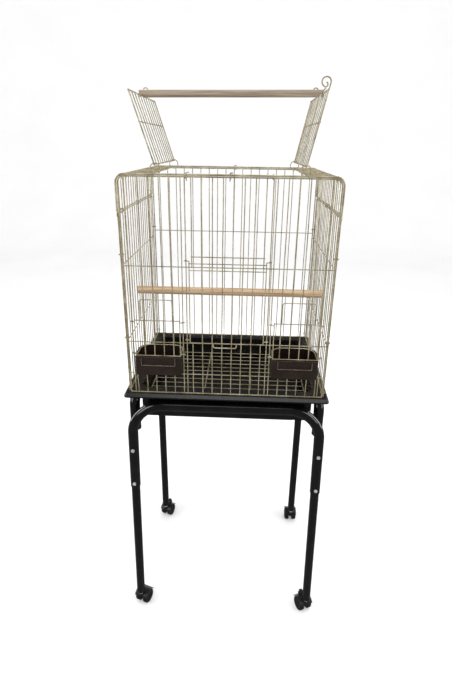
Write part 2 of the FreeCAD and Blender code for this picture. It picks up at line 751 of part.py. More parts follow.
def build():
    os.makedirs("parts", exist_ok=True)
    export("front_stand_arch", arch_frame(-1))
    export("back_stand_arch", arch_frame(1))
    export("left_side_frame", side_frame(-1))
    export("right_side_frame", side_frame(1))
    export("frame_bolts", frame_bolts())
    export("lower_leg_fl", lower_leg(-1, -1))
    export("lower_leg_fr", lower_leg(1, -1))
    export("lower_leg_bl", lower_leg(-1, 1))
    export("lower_leg_br", lower_leg(1, 1))
    export("leg_screws", leg_screws())
    export("leg_plugs", leg_plugs())
    export("caster_stems", caster_stems())
    for corner in ("fl", "fr", "bl", "br"):
        braked = corner in ("fr", "bl")
        export("caster_%s_housing" % corner, placed(caster_housing(braked), corner))
        export("caster_%s_wheels" % corner, placed(wheel_pair(), corner))
        export("caster_%s_axle" % corner, placed(axle(), corner))
        if braked:
            export("caster_%s_brake" % corner, placed(brake_lever(), corner))
    export("base_tub", base_tub())
    export("slide_out_tray", slide_out_tray())
    export("floor_grille", floor_grille())
    export("front_panel", front_panel())
    export("back_panel", back_panel())
    export("left_panel", side_panel(-1))
    export("right_panel", side_panel(1))
    export("roof_cap", roof_cap())
    export("corner_clips", corner_clips())
    export("side_rail_clips", side_rail_clips())
    export("top_rail_clips", top_rail_clips())
    export("left_roof_leaf", roof_leaf(-1))
    export("right_roof_leaf", roof_leaf(1))
    export("left_leaf_loop", leaf_loop(-1))
    export("right_leaf_loop", leaf_loop(1))
    export("scroll_hook", scroll_hook())
    export("leaf_hinge_rings", hinge_rings())
    export("top_perch", top_perch())
    export("inner_perch", inner_perch())
    export("front_door", front_door())
    export("front_door_eyes", front_door_eyes())
    export("front_door_handle", front_door_handle())
    for name, side in (("left", -1), ("right", 1)):
        export("%s_feeder_door" % name, feeder_door(side))
        export("%s_feeder_eyes" % name, feeder_eyes(side))
        export("%s_cup" % name, feed_cup(side))
        export("%s_cup_holder" % name, cup_holder(side))
        export("%s_cup_pull" % name, cup_pull(side))


build()
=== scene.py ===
import json
import math
import random

import bpy
from mathutils import Matrix, Vector


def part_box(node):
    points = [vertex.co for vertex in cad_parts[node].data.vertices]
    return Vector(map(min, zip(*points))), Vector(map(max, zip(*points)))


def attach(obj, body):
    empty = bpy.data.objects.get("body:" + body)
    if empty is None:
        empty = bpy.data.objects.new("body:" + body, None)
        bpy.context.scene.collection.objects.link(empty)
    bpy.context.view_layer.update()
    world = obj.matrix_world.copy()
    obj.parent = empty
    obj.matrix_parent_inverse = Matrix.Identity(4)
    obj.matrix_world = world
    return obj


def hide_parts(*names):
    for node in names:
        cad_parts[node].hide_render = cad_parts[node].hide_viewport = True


# Looks of the bird cage on its tube stand. Metres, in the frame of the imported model:
# +X right, +Y back, +Z up, the cage's front faces -Y.

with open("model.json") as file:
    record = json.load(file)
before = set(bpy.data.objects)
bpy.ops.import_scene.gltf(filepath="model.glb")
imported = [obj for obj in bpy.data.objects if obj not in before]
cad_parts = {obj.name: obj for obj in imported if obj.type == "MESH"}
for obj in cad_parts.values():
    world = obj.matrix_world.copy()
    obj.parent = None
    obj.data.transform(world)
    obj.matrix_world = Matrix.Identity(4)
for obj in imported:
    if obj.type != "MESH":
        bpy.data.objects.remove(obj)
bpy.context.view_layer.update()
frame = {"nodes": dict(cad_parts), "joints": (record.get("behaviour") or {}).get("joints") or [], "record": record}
nodes = frame["nodes"]
dice = random.Random(7)

ROOT = "cage_and_stand"
HAND = {-1: "left", 1: "right"}
CASTERS = ("fl", "fr", "bl", "br")
X = Vector((1, 0, 0))
Z = Vector((0, 0, 1))

# ---- wire gauges (all radii), weld beads and waves ----
WIRE = 0.0011
BORDER = 0.0015            # panel borders, leaf borders and the runners of the floor grille
CAP = 0.002                # the two bent frames of the roof cap
THIN = 0.001
MOULDING = 0.0009          # raised lines on the cups, and the rolled tube ends
WELD = 0.0003              # how deep two welded wires sink into each other
CROSS = 2 * WIRE - WELD    # between the middles of two welded wires
HEAVY_BEAD = 0.0021
EDGE_BEAD = 0.0018
RAIL_BEAD = 0.0016
LIGHT_BEAD = 0.0015
BEAD_SIDES = 6
RING_SIDES = 7
WAVE = 0.0007              # how far a hand-handled wire strays from straight
SHORT_WAVE = 0.0005
RAIL_WAVE = 0.0004
GRILLE_WAVE = 0.0003
CAP_LEAN = 0.0005          # how far the roof wires stray along the roof's edge

# ---- the cage body, from the frame ----
cap_low, cap_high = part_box("roof_cap")
panel_low, panel_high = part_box("front_panel")
side_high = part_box("right_panel")[1]
CAGE_Y = (cap_low.y + cap_high.y) / 2
HALF_W = cap_high.x - CAP
HALF_D = (cap_high.y - cap_low.y) / 2 - CAP
TOP = cap_high.z - CAP
CAP_LOW = cap_low.z + BORDER
BASE = panel_low.z + BORDER
PANEL_TOP = panel_high.z - BORDER
SIDE_TOP = side_high.z - BORDER
EDGE = HALF_W - (panel_high.x - BORDER)
FRONT = CAGE_Y - HALF_D
BACK = CAGE_Y + HALF_D

# ---- rails, bends and wire counts ----
LOW_RAIL = 0.765
SILL = 0.844
LINTEL = 1.019
BACK_RAIL = LINTEL + 0.014
CORNER = 0.018
FRONT_SPACES = 21
BACK_SPACES = 20
SIDE_SPACES = 17

# ---- roof leaves ----
HINGE_X = 0.157
HINGE_Z = 1.222
LEAF_LENGTH = 0.145
LEAF_LEAN = {-1: math.radians(18.2), 1: math.radians(12.6)}
LEAF_SPACES = 10
CROSSBAR = 0.086           # from the hinge to the leaf's crossbar

# ---- floor grille ----
RUNNER_X = 0.06
GRILLE_PITCH = 0.025
GRILLE_ROWS = 6            # rows each side of the middle one

# ---- doors ----
DOOR_Y = FRONT - 0.0046
DOOR_HALF_W = 0.082
DOOR_LOW = SILL + 0.0035
DOOR_TOP = LINTEL + 0.024
DOOR_EDGE_TOP = LINTEL + 0.015
DOOR_RAILS = (DOOR_LOW, LINTEL - 0.005, LINTEL + 0.0095)
DOOR_TOP_INSET = 0.004
DOOR_CLEAR = 0.01          # least room between an edge wire and the next upright
DOOR_GUIDE = 0.0895
CUP_GUIDES = (0.0978, 0.213)
GUIDE_REACH = 0.003        # an upright this near to a guide is left out or left whole
OVERRUN = 0.001            # how far a cut upright runs past its rail
FEEDER_LOW = 0.8135
FEEDER_TOP = 0.8985
FEEDER_INSET = 0.007       # from the guides to the feeder door's edge wires
FEEDER_CLEAR = 0.005
HOOP_XS = (0.121, 0.193)
HOOP_TOP = 0.946
HOOP_BEND = 0.005

# ---- hooks and catches ----
HOOK_RING = 0.0048
HOOK_Y = FRONT + 0.004
HOOK_DROPS = (0.006, 0.011, 0.019)   # to the ring's middle and to the two ends of its tail
TAIL_Y = FRONT + 0.002
BACK_RING = 0.0045
BACK_RING_Y = BACK - 0.012
BACK_RING_RISE = 0.006
HOOK_SPREAD = 0.0005       # from the side panel outwards
CATCHES = ((0.002, FRONT), (0.0, BACK), (-0.085, FRONT))
CATCH_RISE = 0.0045
CATCH_LEG = 0.012
CATCH_TAIL = 0.006
CATCH_BEND = 0.002

# ---- tube collars and wheel hubs ----
COLLAR_RISE = 0.0012
COLLAR_SINK = 0.0007
WHEEL_FACE = 0.0175        # from the middle of an axle to the dish of a wheel
HUB_SINK = 0.0003
HUB_RISE = 0.0011
HUB_R = 0.0042
SPOKES = 6
SPOKE_IN = 0.004
SPOKE_OUT = 0.0104
SPOKE_R = 0.0007
DISH_R = 0.0102

# ---- mouldings of the feed cups, measured from the rim and the middle ----
SLOT_HALF = 0.016
SLOT_DROPS = (0.0095, 0.0135)
RIM_HALF = 0.053
RIM_DEPTH = 0.0055
RIM_BEND = 0.0045
RIM_DROP = 0.0012


# ---- bars, rings and weld beads ----
class WireWork:
    """Bent wire gathered into one mesh."""

    def __init__(self):
        self.verts = []
        self.faces = []

    def bar(self, points, radius, sides=8, closed=False):
        """A round wire along the points, with flat ends unless it closes on itself."""
        points = [Vector(p) for p in points]
        count = len(points)
        first = len(self.verts)
        normal = None
        for k, point in enumerate(points):
            before = points[k - 1] if k or closed else point
            after = points[(k + 1) % count] if k < count - 1 or closed else point
            along = (after - before).normalized()
            if normal is None:
                normal = along.orthogonal().normalized()
            normal = (normal - along * normal.dot(along)).normalized()
            across = along.cross(normal)
            for s in range(sides):
                turn = 2 * math.pi * s / sides
                spoke = math.cos(turn) * normal + math.sin(turn) * across
                self.verts.append(point + radius * spoke)
        for k in range(count if closed else count - 1):
            here = first + k * sides
            there = first + (k + 1) % count * sides
            for s in range(sides):
                t = (s + 1) % sides
                self.faces.append((here + s, here + t, there + t, there + s))
        if not closed:
            last = first + (count - 1) * sides
            self.faces.append(tuple(first + s for s in reversed(range(sides))))
            self.faces.append(tuple(last + s for s in range(sides)))

    def ring(self, centre, axis, major, minor, steps=20):
        """A closed wire ring around the axis."""
        centre = Vector(centre)
        u = axis.orthogonal().normalized()
        v = axis.cross(u).normalized()
        turns = [2 * math.pi * k / steps for k in range(steps)]
        points = [centre + major * (math.cos(t) * u + math.sin(t) * v) for t in turns]
        self.bar(points, minor, RING_SIDES, closed=True)

    def bead(self, centre, radius):
        """A weld nugget: a short wide drum around a longer thin one."""
        centre = Vector(centre)
        for reach, width in ((0.9, 0.55), (0.45, 1.0)):
            ends = [centre + Vector((0, 0, radius * h)) for h in (-reach, reach)]
            self.bar(ends, radius * width, BEAD_SIDES)

    def turned(self, matrix):
        self.verts = [matrix @ v for v in self.verts]

    def finish(self, name, material, body, *replaced, slot="plated_wire"):
        """Makes the mesh a piece that rides on its body and stands for the replaced nodes."""
        mesh = bpy.data.meshes.new(name)
        mesh.from_pydata(self.verts, [], self.faces)
        mesh.update()
        piece = bpy.data.objects.new(name, mesh)
        bpy.context.scene.collection.objects.link(piece)
        smooth(mesh)
        mesh.materials.append(material)
        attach(piece, body)
        if replaced:
            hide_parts(*replaced)


def smooth(mesh, angle=40):
    """Smooth shading, with edges sharper than the angle kept crisp."""
    mesh.polygons.foreach_set("use_smooth", [True] * len(mesh.polygons))
    mesh.set_sharp_from_angle(angle=math.radians(angle))


def rounded(points, bend, steps=6):
    """The points of a path whose corners are turned into arcs."""
    points = [Vector(p) for p in points]
    path = [points[0]]
    for before, corner, after in zip(points, points[1:], points[2:]):
        back = (before - corner).normalized()
        on = (after - corner).normalized()
        half = back.angle(on) / 2
        reach = bend / math.tan(half)
        centre = corner + (back + on).normalized() * (bend / math.sin(half))
        start = corner + back * reach - centre
        end = corner + on * reach - centre
        for k in range(steps + 1):
            path.append(centre + start.slerp(end, k / steps).normalized() * bend)
    path.append(points[-1])
    return path


def swayed(start, end, amount=WAVE, steps=12):
    """A straight run with the slight waves of real wire; its ends stay put."""
    start = Vector(start)
    end = Vector(end)
    along = (end - start).normalized()
    u = along.orthogonal().normalized()
    v = along.cross(u)
    waves = [(dice.uniform(-1, 1), dice.uniform(-0.4, 0.4), n) for n in (1, 2, 3)]
    points = []
    for k in range(steps + 1):
        t = k / steps
        shifts = [(a * u + b * v) * math.sin(n * math.pi * t) / n for a, b, n in waves]
        points.append(start.lerp(end, t) + sum(shifts, Vector()) * amount)
    return points


def spaced(half, spaces):
    """The inner marks of a width from -half to half, cut into equal spaces."""
    pitch = 2 * half / spaces
    return [-half + pitch * k for k in range(1, spaces)]


DEPTH_YS = [CAGE_Y + y for y in spaced(HALF_D, SIDE_SPACES)]
WIDTH_XS = spaced(HALF_W, FRONT_SPACES)


# ---- materials ----
def material(name):
    made = bpy.data.materials.new(name)
    made.use_nodes = True
    tree = made.node_tree
    surface = tree.nodes["Principled BSDF"]
    place = tree.nodes.new("ShaderNodeTexCoord").outputs["Object"]
    return made, tree, surface, place


def noise(tree, place, scale, detail=4.0, stretch=(1, 1, 1)):
    mapping = tree.nodes.new("ShaderNodeMapping")
    mapping.inputs["Scale"].default_value = stretch
    tree.links.new(place, mapping.inputs["Vector"])
    texture = tree.nodes.new("ShaderNodeTexNoise")
    texture.inputs["Scale"].default_value = scale
    texture.inputs["Detail"].default_value = detail
    tree.links.new(mapping.outputs["Vector"], texture.inputs["Vector"])
    return texture.outputs["Fac"]


def colours(tree, surface, value, stops):
    """Base colour by a ramp over the value."""
    node = tree.nodes.new("ShaderNodeValToRGB")
    elements = node.color_ramp.elements
    while len(elements) < len(stops):
        elements.new(0.5)
    for element, (at, colour) in zip(elements, stops):
        element.position = at
        element.color = (*colour, 1)
    tree.links.new(value, node.inputs["Fac"])
    tree.links.new(node.outputs["Color"], surface.inputs["Base Color"])


def gloss(tree, surface, value, low, high):
    """Roughness from low to high as the value goes through the middle of its range."""
    node = tree.nodes.new("ShaderNodeMapRange")
    node.inputs["From Min"].default_value = 0.3
    node.inputs["From Max"].default_value = 0.7
    node.inputs["To Min"].default_value = low
    node.inputs["To Max"].default_value = high
    tree.links.new(value, node.inputs["Value"])
    tree.links.new(node.outputs["Result"], surface.inputs["Roughness"])


def bump(tree, surface, value, strength, distance):
    node = tree.nodes.new("ShaderNodeBump")
    node.inputs["Strength"].default_value = strength
    node.inputs["Distance"].default_value = distance
    tree.links.new(value, node.inputs["Height"])
    tree.links.new(node.outputs["Normal"], surface.inputs["Normal"])


def plated_wire_material():
    """Pale brass plating, duller and browner in patches."""
    made, tree, surface, place = material("plated_wire")
    brown = (0.24, 0.195, 0.11)
    brass = (0.38, 0.33, 0.21)
    pale = (0.54, 0.485, 0.35)
    patches = noise(tree, place, scale=38.0, detail=5.0)
    colours(tree, surface, patches, [(0.32, brown), (0.5, brass), (0.68, pale)])
    gloss(tree, surface, noise(tree, place, scale=210.0), low=0.2, high=0.4)
    surface.inputs["Metallic"].default_value = 0.45
    bump(tree, surface, noise(tree, place, scale=900.0), strength=0.25, distance=0.0002)
    return made


def dull_wire_material():
    """Dark brown wire, lighter brown in patches."""
    made, tree, surface, place = material("dull_wire")
    patches = noise(tree, place, scale=60.0)
    colours(tree, surface, patches, [(0.3, (0.09, 0.065, 0.05)), (0.7, (0.20, 0.15, 0.125))])
    gloss(tree, surface, patches, low=0.3, high=0.5)
    surface.inputs["Metallic"].default_value = 0.4
    bump(tree, surface, noise(tree, place, scale=800.0), strength=0.2, distance=0.0002)
    return made


def black_tube_material():
    """Gloss powder coat with a faint orange peel."""
    made, tree, surface, place = material("black_powder_coat")
    stops = [(0.35, (0.002, 0.002, 0.0024)), (0.7, (0.005, 0.005, 0.0056))]
    colours(tree, surface, noise(tree, place, scale=30.0), stops)
    gloss(tree, surface, noise(tree, place, scale=60.0), low=0.1, high=0.2)
    surface.inputs["Coat Weight"].default_value = 0.5
    surface.inputs["Coat Roughness"].default_value = 0.08
    bump(tree, surface, noise(tree, place, 520.0, detail=2.0), strength=0.12, distance=0.0003)
    return made


def plastic_material(name, dark, light, low, high, grain):
    """Moulded plastic with a fine grain; low and high are its roughness."""
    made, tree, surface, place = material(name)
    colours(tree, surface, noise(tree, place, scale=22.0), [(0.3, dark), (0.7, light)])
    gloss(tree, surface, noise(tree, place, scale=90.0), low, high)
    bump(tree, surface, noise(tree, place, grain, detail=3.0), strength=0.2, distance=0.0003)
    return made


def wood_material(name, dark, middle, light):
    """Turned dowel, the grain along X."""
    made, tree, surface, place = material(name)
    bands = noise(tree, place, scale=1.0, detail=6.0, stretch=(9.0, 260.0, 260.0))
    pores = noise(tree, place, scale=1.0, stretch=(40.0, 1300.0, 1300.0))
    colours(tree, surface, bands, [(0.3, dark), (0.5, middle), (0.7, light)])
    gloss(tree, surface, bands, low=0.72, high=0.5)
    bump(tree, surface, pores, strength=0.35, distance=0.0004)
    return made


def zinc_material():
    """Bright zinc of the screws, dulled in patches."""
    made, tree, surface, place = material("bright_zinc")
    patches = noise(tree, place, scale=160.0)
    colours(tree, surface, patches, [(0.3, (0.6, 0.6, 0.62)), (0.7, (0.85, 0.85, 0.87))])
    gloss(tree, surface, patches, low=0.2, high=0.4)
    surface.inputs["Metallic"].default_value = 0.55
    bump(tree, surface, noise(tree, place, scale=700.0), strength=0.15, distance=0.0002)
    return made


FINISHES = {
    "plated_wire": plated_wire_material(),
    "dull_wire": dull_wire_material(),
    "stand_black": black_tube_material(),
    "zinc": zinc_material(),
    "grey_wood": wood_material("grey_wood", (0.14, 0.105, 0.07), (0.25, 0.20, 0.14),
                               (0.36, 0.30, 0.22)),
    "tan_wood": wood_material("tan_wood", (0.26, 0.165, 0.09), (0.42, 0.29, 0.17),
                              (0.55, 0.41, 0.27)),
}
PLASTICS = [  # slot, dark and light colour, low and high roughness, scale of the grain
    ("tub_plastic", (0.0025, 0.0025, 0.003), (0.006, 0.006, 0.0065), 0.18, 0.3, 420.0),
    ("tray_plastic", (0.003, 0.003, 0.0035), (0.007, 0.007, 0.0075), 0.26, 0.4, 420.0),
    ("cup_plastic", (0.012, 0.007, 0.005), (0.022, 0.013, 0.009), 0.24, 0.38, 500.0),
    ("caster_plastic", (0.004, 0.004, 0.0045), (0.009, 0.009, 0.0095), 0.3, 0.45, 700.0),
    ("wheel_plastic", (0.006, 0.006, 0.0063), (0.013, 0.013, 0.0135), 0.4, 0.6, 600.0),
]
for plastic in PLASTICS:
    FINISHES[plastic[0]] = plastic_material(*plastic)
FINISHES["plug_plastic"] = FINISHES["caster_plastic"]
WIRE_FINISH = FINISHES["plated_wire"]


def dress_frame():
    """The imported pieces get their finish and, where they are moulded, soft edges."""
    soft = {"base_tub": 0.0008, "slide_out_tray": 0.0006, "left_cup": 0.0007, "right_cup": 0.0007}
    for entry in frame["record"]["subparts"]:
        name = entry["node"]
        node = nodes[name]
        node.data.materials.clear()
        node.data.materials.append(FINISHES[entry["material_slot"]])
        smooth(node.data, 32)
        if name in soft:
            bevel = node.modifiers.new("soft_edges", "BEVEL")
            bevel.width = soft[name]
            bevel.segments = 2
            bevel.limit_method = "ANGLE"
            bevel.angle_limit = math.radians(50)


# ---- wire panels ----
def upright_panel(y, outward, xs, rails, spans_for):
    """A flat panel that faces along Y: border, uprights, rails welded behind them, beads."""
    work = WireWork()
    edge = HALF_W - EDGE
    behind = y - outward * CROSS
    border = [(-edge, y, BASE), (-edge, y, PANEL_TOP), (edge, y, PANEL_TOP), (edge, y, BASE)]
    work.bar(rounded(border, CORNER - EDGE), BORDER)
    work.bar([(-edge, y, BASE), (edge, y, BASE)], BORDER)
    for z in rails:
        work.bar(swayed((-edge, behind, z), (edge, behind, z), RAIL_WAVE), WIRE)
    for x in xs:
        work.bead((x, y, BASE), EDGE_BEAD)
        for low, high in spans_for(x):
            work.bar(swayed((x, y, low), (x, y, high)), WIRE)
            for z in rails:
                if low - 2 * OVERRUN < z < high + 2 * OVERRUN:
                    work.bead((x, (y + behind) / 2, z), RAIL_BEAD)
            if high == PANEL_TOP:
                work.bead((x, y, PANEL_TOP), EDGE_BEAD)
    return work


def front_spans(x):
    """The runs of an upright of the front panel, which the three doorways interrupt."""
    reach = abs(x)
    if reach < DOOR_GUIDE - GUIDE_REACH:
        return [(BASE, SILL + OVERRUN), (LINTEL - OVERRUN, PANEL_TOP)]
    if CUP_GUIDES[0] + GUIDE_REACH < reach < CUP_GUIDES[1] - GUIDE_REACH:
        return [(BASE, LOW_RAIL + OVERRUN), (SILL - OVERRUN, PANEL_TOP)]
    return [(BASE, PANEL_TOP)]


def front_panel():
    guides = [side * guide for side in HAND for guide in (DOOR_GUIDE, *CUP_GUIDES)]
    xs = [x for x in WIDTH_XS if abs(abs(x) - CUP_GUIDES[0]) > GUIDE_REACH]
    work = upright_panel(FRONT, -1, xs + guides, (LOW_RAIL, SILL, LINTEL), front_spans)
    work.finish("front_panel_wires", WIRE_FINISH, ROOT, "front_panel")


def back_panel():
    xs = spaced(HALF_W, BACK_SPACES)
    work = upright_panel(BACK, 1, xs, (SILL, BACK_RAIL), lambda x: [(BASE, PANEL_TOP)])
    work.finish("back_panel_wires", WIRE_FINISH, ROOT, "back_panel")


def side_panel(side):
    """A flat panel that faces along X."""
    work = WireWork()
    x = side * HALF_W
    behind = x - side * CROSS
    near = CAGE_Y - HALF_D + EDGE
    far = CAGE_Y + HALF_D - EDGE
    for y in (near, far):
        work.bar([(x, y, BASE), (x, y, SIDE_TOP)], BORDER)
    for z in (BASE, SIDE_TOP):
        work.bar([(x, near, z), (x, far, z)], BORDER)
    for z in (SILL, LINTEL):
        work.bar(swayed((behind, near, z), (behind, far, z), RAIL_WAVE), WIRE)
    for y in DEPTH_YS:
        work.bar(swayed((x, y, BASE), (x, y, SIDE_TOP)), WIRE)
        for z in (BASE, SIDE_TOP):
            work.bead((x, y, z), HEAVY_BEAD)
        for z in (SILL, LINTEL):
            work.bead(((x + behind) / 2, y, z), RAIL_BEAD)
    name = HAND[side] + "_panel"
    work.finish(name + "_wires", WIRE_FINISH, ROOT, name)


def roof_cap():
    """Two bent frames, and wires that run over the roof's edge and down the sides."""
    work = WireWork()
    corners = [(-HALF_W, CAP_LOW), (-HALF_W, TOP), (HALF_W, TOP), (HALF_W, CAP_LOW)]
    for y in (FRONT, BACK):
        work.bar(rounded([(x, y, z) for x, z in corners], CORNER, steps=8), CAP, sides=10)
    for side in HAND:
        hinge = side * HINGE_X
        wall = side * HALF_W
        work.bar([(hinge, FRONT, TOP), (hinge, BACK, TOP)], BORDER)
        work.bar([(wall, FRONT, CAP_LOW), (wall, BACK, CAP_LOW)], BORDER)
        for y in DEPTH_YS:
            lean = dice.uniform(-CAP_LEAN, CAP_LEAN)
            path = [(hinge, y, TOP), (wall, y + lean, TOP), (wall, y, CAP_LOW)]
            work.bar(rounded(path, CORNER), WIRE)
            work.bead((hinge, y, TOP), EDGE_BEAD)
            work.bead((wall, y, CAP_LOW), HEAVY_BEAD)
    work.finish("roof_cap_wires", WIRE_FINISH, ROOT, "roof_cap")


def leaf_turn(side):
    """Turns a leaf drawn upright at its hinge out to its resting lean."""
    pivot = Vector((side * HINGE_X, CAGE_Y, HINGE_Z))
    lean = Matrix.Rotation(side * LEAF_LEAN[side], 4, "Y")
    return Matrix.Translation(pivot) @ lean @ Matrix.Translation(-pivot)


def roof_leaf(side):
    """An opening half of the roof, drawn upright and then leaned out."""
    work = WireWork()
    name = HAND[side] + "_roof_leaf"
    x = side * HINGE_X
    tip = HINGE_Z + LEAF_LENGTH
    low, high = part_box(name)
    near = low.y + BORDER
    far = high.y - BORDER
    for z in (HINGE_Z, tip):
        work.bar([(x, near, z), (x, far, z)], BORDER)
    for y in (near, far):
        work.bar([(x, y, HINGE_Z), (x, y, tip)], BORDER)
        work.bead((x, y, tip), HEAVY_BEAD)
        work.bead((x, y, HINGE_Z), HEAVY_BEAD)
    cross_x = x + side * CROSS
    cross_z = HINGE_Z + CROSSBAR
    work.bar(swayed((cross_x, near, cross_z), (cross_x, far, cross_z), RAIL_WAVE), WIRE)
    for offset in spaced((far - near) / 2, LEAF_SPACES):
        y = (near + far) / 2 + offset
        work.bar(swayed((x, y, HINGE_Z), (x, y, tip), SHORT_WAVE), WIRE)
        work.bead(((x + cross_x) / 2, y, cross_z), RAIL_BEAD)
        for z in (HINGE_Z, tip):
            work.bead((x, y, z), EDGE_BEAD)
    work.turned(leaf_turn(side))
    work.finish(name + "_wires", WIRE_FINISH, HAND[side] + "_leaf", name)


def floor_grille():
    """A border with two runners, and the rows welded on top of them."""
    work = WireWork()
    low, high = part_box("floor_grille")
    z = low.z + BORDER
    left, right = low.x + BORDER, high.x - BORDER
    near, far = low.y + BORDER, high.y - BORDER
    runners = (left, right, -RUNNER_X, RUNNER_X)
    for x in runners:
        work.bar([(x, near, z), (x, far, z)], BORDER)
    for y in (near, far):
        work.bar([(left, y, z), (right, y, z)], BORDER)
    upper = z + BORDER + WIRE - WELD
    for k in range(-GRILLE_ROWS, GRILLE_ROWS + 1):
        y = CAGE_Y + GRILLE_PITCH * k
        work.bar(swayed((left, y, upper), (right, y, upper), GRILLE_WAVE), WIRE)
        for x in runners:
            work.bead((x, y, z + BORDER), LIGHT_BEAD)
    work.finish("floor_grille_wires", WIRE_FINISH, ROOT, "floor_grille")


# ---- doors ----
def front_door():
    """Uprights behind three crossbars, and a fourth one along their tops."""
    work = WireWork()
    cross_y = DOOR_Y - CROSS
    weld_y = (DOOR_Y + cross_y) / 2
    edges = [-DOOR_HALF_W, DOOR_HALF_W]
    for x in edges:
        work.bar([(x, DOOR_Y, DOOR_LOW), (x, DOOR_Y, DOOR_EDGE_TOP)], WIRE)
    inner = [x for x in WIDTH_XS if abs(x) < DOOR_HALF_W - DOOR_CLEAR]
    for x in inner:
        work.bar(swayed((x, DOOR_Y, DOOR_LOW), (x, DOOR_Y, DOOR_TOP), SHORT_WAVE), WIRE)
        work.bead((x, weld_y, DOOR_TOP), LIGHT_BEAD)
    for z in DOOR_RAILS:
        work.bar([(x, cross_y, z) for x in edges], WIRE)
        for x in inner + edges:
            work.bead((x, weld_y, z), LIGHT_BEAD)
    half = DOOR_HALF_W - DOOR_TOP_INSET
    work.bar([(-half, cross_y, DOOR_TOP), (half, cross_y, DOOR_TOP)], WIRE)
    work.finish("front_door_wires", WIRE_FINISH, "front_door_body", "front_door")


def feeder_door(side):
    """Uprights behind two crossbars, and a hoop on top to lift the door by."""
    work = WireWork()
    cross_y = DOOR_Y - CROSS
    near = CUP_GUIDES[0] + FEEDER_INSET
    far = CUP_GUIDES[1] - FEEDER_INSET
    xs = [near, far]
    xs += [x for x in WIDTH_XS if near + FEEDER_CLEAR < x < far - FEEDER_CLEAR]
    for x in xs:
        work.bar([(side * x, DOOR_Y, FEEDER_LOW), (side * x, DOOR_Y, FEEDER_TOP)], WIRE)
    for z in (FEEDER_LOW, FEEDER_TOP):
        work.bar([(side * near, cross_y, z), (side * far, cross_y, z)], WIRE)
        for x in xs:
            work.bead((side * x, (DOOR_Y + cross_y) / 2, z), LIGHT_BEAD)
    inner, outer = HOOP_XS
    hoop = [(inner, FEEDER_TOP), (inner, HOOP_TOP), (outer, HOOP_TOP), (outer, FEEDER_TOP)]
    work.bar(rounded([(side * x, DOOR_Y, z) for x, z in hoop], HOOP_BEND), WIRE)
    name = HAND[side] + "_feeder_door"
    work.finish(name + "_wires", WIRE_FINISH, name + "_body", name)


# ---- small fittings ----
def rail_hooks():
    """Bent tails that lock the roof cap to the side panels."""
    work = WireWork()
    middle, tail, end = [CAP_LOW - drop for drop in HOOK_DROPS]
    for side in HAND:
        x = side * (HALF_W + HOOK_SPREAD)
        work.ring((x, HOOK_Y, middle), X, HOOK_RING, WIRE)
        work.bar([(x, HOOK_Y, tail), (x, TAIL_Y, end)], WIRE)
        work.ring((x, BACK_RING_Y, CAP_LOW + BACK_RING_RISE), X, BACK_RING, THIN)
    work.finish("rail_hooks", WIRE_FINISH, ROOT)


def roof_catches():
    """Small tongues on the front and back roof wires that the leaves rest on when shut."""
    work = WireWork()
    low = TOP - CATCH_LEG
    high = TOP + CATCH_RISE
    for x, y in CATCHES:
        path = [(x, y, low), (x, y, high), (x + CATCH_TAIL, y, high)]
        work.bar(rounded(path, CATCH_BEND), THIN)
    work.finish("roof_catches", WIRE_FINISH, ROOT)


def tube_collars():
    """The slightly rolled lower ends of the upper stand tubes."""
    work = WireWork()
    for name in ("front_stand_arch", "back_stand_arch"):
        low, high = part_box(name)
        y = (low.y + high.y) / 2
        radius = (high.y - low.y) / 2
        for side in HAND:
            centre = (side * (high.x - radius), y, low.z + COLLAR_RISE)
            work.ring(centre, Z, radius - COLLAR_SINK, MOULDING, steps=32)
    work.finish("tube_collars", FINISHES["stand_black"], ROOT, slot="stand_black")


def wheel_hubs(corner):
    """A cap, spokes and a ring in each wheel's dish."""
    work = WireWork()
    low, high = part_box("caster_%s_axle" % corner)
    centre = (low + high) / 2
    joint = next(j for j in frame["joints"] if j["name"] == "caster_%s_roll" % corner)
    axis = Vector(joint["axis"]).normalized()
    ahead = axis.cross(Z)
    for side in (-1, 1):
        face = centre + axis * side * WHEEL_FACE
        ends = [face - axis * side * HUB_SINK, face + axis * side * HUB_RISE]
        work.bar(ends, HUB_R, sides=20)
        for k in range(SPOKES):
            turn = 2 * math.pi * k / SPOKES
            spoke = math.cos(turn) * Z + math.sin(turn) * ahead
            work.bar([face + spoke * SPOKE_IN, face + spoke * SPOKE_OUT], SPOKE_R, sides=6)
        work.ring(face, axis, DISH_R, SPOKE_R, steps=28)
    body = "caster_%s_rollers" % corner
    name = "caster_%s_hubs" % corner
    work.finish(name, FINISHES["wheel_plastic"], body, slot="wheel_plastic")


def cup_details(side):
    """A raised frame around the finger slot and a thickened rim on each feed cup."""
    work = WireWork()
    name = HAND[side] + "_cup"
    low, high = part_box(name)
    x = (low.x + high.x) / 2
    y = low.y
    upper, lower = [high.z - drop for drop in SLOT_DROPS]
    left, right = x - SLOT_HALF, x + SLOT_HALF
    for z in (upper, lower):
        work.bar([(left, y, z), (right, y, z)], MOULDING)
    for end in (left, right):
        work.bar([(end, y, upper), (end, y, lower)], MOULDING)
    left, right = x - RIM_HALF, x + RIM_HALF
    rim = [(left, y + RIM_DEPTH), (left, y), (right, y), (right, y + RIM_DEPTH)]
    path = [(px, py, high.z - RIM_DROP) for px, py in rim]
    work.bar(rounded(path, RIM_BEND), MOULDING)
    cup_finish = FINISHES["cup_plastic"]
    work.finish(name + "_mouldings", cup_finish, name + "_body", slot="cup_plastic")


# ---- studio ----
def link(name, data, place=(0, 0, 0), target=None):
    """An object in the scene that faces the target, if there is one, along its own -Z."""
    made = bpy.data.objects.new(name, data)
    bpy.context.scene.collection.objects.link(made)
    made.location = place
    if target:
        aim = Vector(target) - Vector(place)
        made.rotation_euler = aim.to_track_quat("-Z", "Y").to_euler()
    return made


